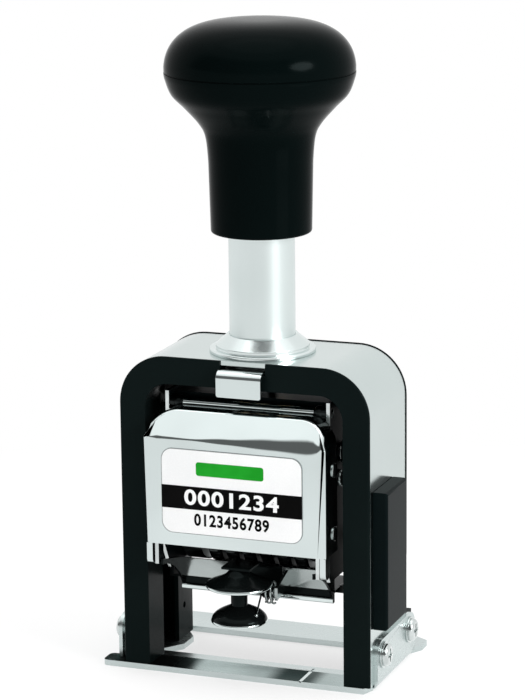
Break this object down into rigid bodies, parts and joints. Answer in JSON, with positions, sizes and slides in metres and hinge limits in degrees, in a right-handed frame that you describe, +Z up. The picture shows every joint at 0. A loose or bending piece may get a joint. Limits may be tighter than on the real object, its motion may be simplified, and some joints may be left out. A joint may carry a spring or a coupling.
{
  "type": "numbering machine",
  "caption": "Hand numbering machine: round handle on a sprung plunger, arch frame, covered number wheels, swinging ink pad and a base plate with a print window.",
  "frame": {"origin": "middle of the footprint at the base plate's underside", "axes": "+X to the right as the user faces the label, +Y to the back, +Z up along the plunger"},
  "size_m": [0.08, 0.0594, 0.1756],
  "materials": {
    "black_frame": "moulded black plastic, half gloss",
    "handle_black": "polished black plastic",
    "knob_black": "moulded black plastic",
    "chrome": "bright plated steel",
    "satin_tube": "satin nickel plating",
    "bright_screw": "zinc plated steel",
    "carriage_steel": "plain steel, oiled",
    "rod_steel": "ground steel",
    "dark_steel": "black oxide",
    "dial_steel": "turned steel",
    "wheel_metal": "dark inked metal",
    "bush_brass": "turned brass",
    "shoe_nylon": "black nylon",
    "spring_steel": "spring wire",
    "label_white": "printed label film",
    "ink_felt": "felt soaked with black ink"
  },
  "bodies": {
    "frame": {"base_plate": "chrome", "outer_band": "chrome", "front_frame": "black_frame", "rear_frame": "black_frame", "side_block": "black_frame", "base_screws": "bright_screw", "base_washers": "bright_screw", "base_spacers": "bright_screw", "collar": "chrome", "guide_tube": "satin_tube", "tube_nut": "rod_steel", "lower_bush": "bush_brass", "top_bush": "bush_brass", "return_spring": "spring_steel", "latch_guide": "carriage_steel"},
    "latch": {"latch_tab": "chrome"},
    "plunger": {"handle_body": "handle_black", "handle_cap": "handle_black", "handle_nut": "rod_steel", "plunger_rod": "rod_steel", "rod_nut": "rod_steel", "carriage_bridge": "carriage_steel", "side_plate_left": "carriage_steel", "side_plate_right": "carriage_steel", "guide_shoe_left": "shoe_nylon", "guide_shoe_right": "shoe_nylon", "back_plate": "carriage_steel", "front_cover": "chrome", "label_plate": "label_white", "cover_screws": "bright_screw", "cross_rod": "chrome", "cross_rod_nuts": "dark_steel", "wheel_axle": "carriage_steel", "axle_spacers": "carriage_steel", "axle_clips": "bright_screw", "detent_comb": "carriage_steel", "arm_pins": "carriage_steel", "arm_springs": "spring_steel"},
    "feed_rocker": {"pawl_rocker": "carriage_steel", "pawl_shaft": "carriage_steel", "feed_pawls": "carriage_steel"},
    "ink_arm": {"ink_arm": "dark_steel", "cam_pins": "carriage_steel"},
    "pad_cartridge": {"pad_holder": "chrome", "tray_gasket": "knob_black", "ink_pad": "ink_felt", "pad_knob": "knob_black", "knob_rims": "chrome", "knob_spring": "spring_steel", "spring_tail": "spring_steel"},
    "repeat_dial": {"repeat_dial": "dial_steel"},
    "wheel_1": {"number_wheel_1": "wheel_metal"},
    "wheel_2": {"number_wheel_2": "wheel_metal"},
    "wheel_3": {"number_wheel_3": "wheel_metal"},
    "wheel_4": {"number_wheel_4": "wheel_metal"},
    "wheel_5": {"number_wheel_5": "wheel_metal"},
    "wheel_6": {"number_wheel_6": "wheel_metal"}
  },
  "joints": [
    {"name": "plunger_slide", "type": "slide", "parent": "frame", "child": "plunger", "axis": [0, 0, -1], "range_m": [0, 0.0265], "stiffness_N_per_m": 500, "springref_m": -0.015, "deforming": ["return_spring"]},
    {"name": "ink_swing", "type": "hinge", "parent": "plunger", "child": "ink_arm", "pos_m": [0.00117, -0.00537, 0.062], "axis": [1, 0, 0], "range_deg": [-56, 0]},
    {"name": "pad_pull", "type": "slide", "parent": "ink_arm", "child": "pad_cartridge", "axis": [0, -1, 0], "range_m": [0, 0.02]},
    {"name": "feed_swing", "type": "hinge", "parent": "plunger", "child": "feed_rocker", "pos_m": [0.00117, 0.00263, 0.037], "axis": [1, 0, 0], "range_deg": [0, 36]},
    {"name": "latch_push", "type": "slide", "parent": "frame", "child": "latch", "axis": [0, 1, 0], "range_m": [0, 0.0015], "stiffness_N_per_m": 250, "springref_m": -0.001},
    {"name": "dial_turn", "type": "hinge", "parent": "plunger", "child": "repeat_dial", "pos_m": [0.00117, -0.01077, 0.0565], "axis": [1, 0, 0], "range_deg": [0, 270]},
    {"name": "wheel_1_turn", "type": "hinge", "parent": "plunger", "child": "wheel_1", "pos_m": [0.00117, 0.00263, 0.037], "axis": [1, 0, 0], "continuous": true},
    {"name": "wheel_2_turn", "type": "hinge", "parent": "plunger", "child": "wheel_2", "pos_m": [0.00117, 0.00263, 0.037], "axis": [1, 0, 0], "continuous": true},
    {"name": "wheel_3_turn", "type": "hinge", "parent": "plunger", "child": "wheel_3", "pos_m": [0.00117, 0.00263, 0.037], "axis": [1, 0, 0], "continuous": true},
    {"name": "wheel_4_turn", "type": "hinge", "parent": "plunger", "child": "wheel_4", "pos_m": [0.00117, 0.00263, 0.037], "axis": [1, 0, 0], "continuous": true},
    {"name": "wheel_5_turn", "type": "hinge", "parent": "plunger", "child": "wheel_5", "pos_m": [0.00117, 0.00263, 0.037], "axis": [1, 0, 0], "continuous": true},
    {"name": "wheel_6_turn", "type": "hinge", "parent": "plunger", "child": "wheel_6", "pos_m": [0.00117, 0.00263, 0.037], "axis": [1, 0, 0], "continuous": true}
  ],
  "couplings": [
    {"joint": "ink_swing", "follows": "plunger_slide", "rad_per_m": -36.882},
    {"joint": "feed_swing", "follows": "plunger_slide", "rad_per_m": 23.71}
  ]
}
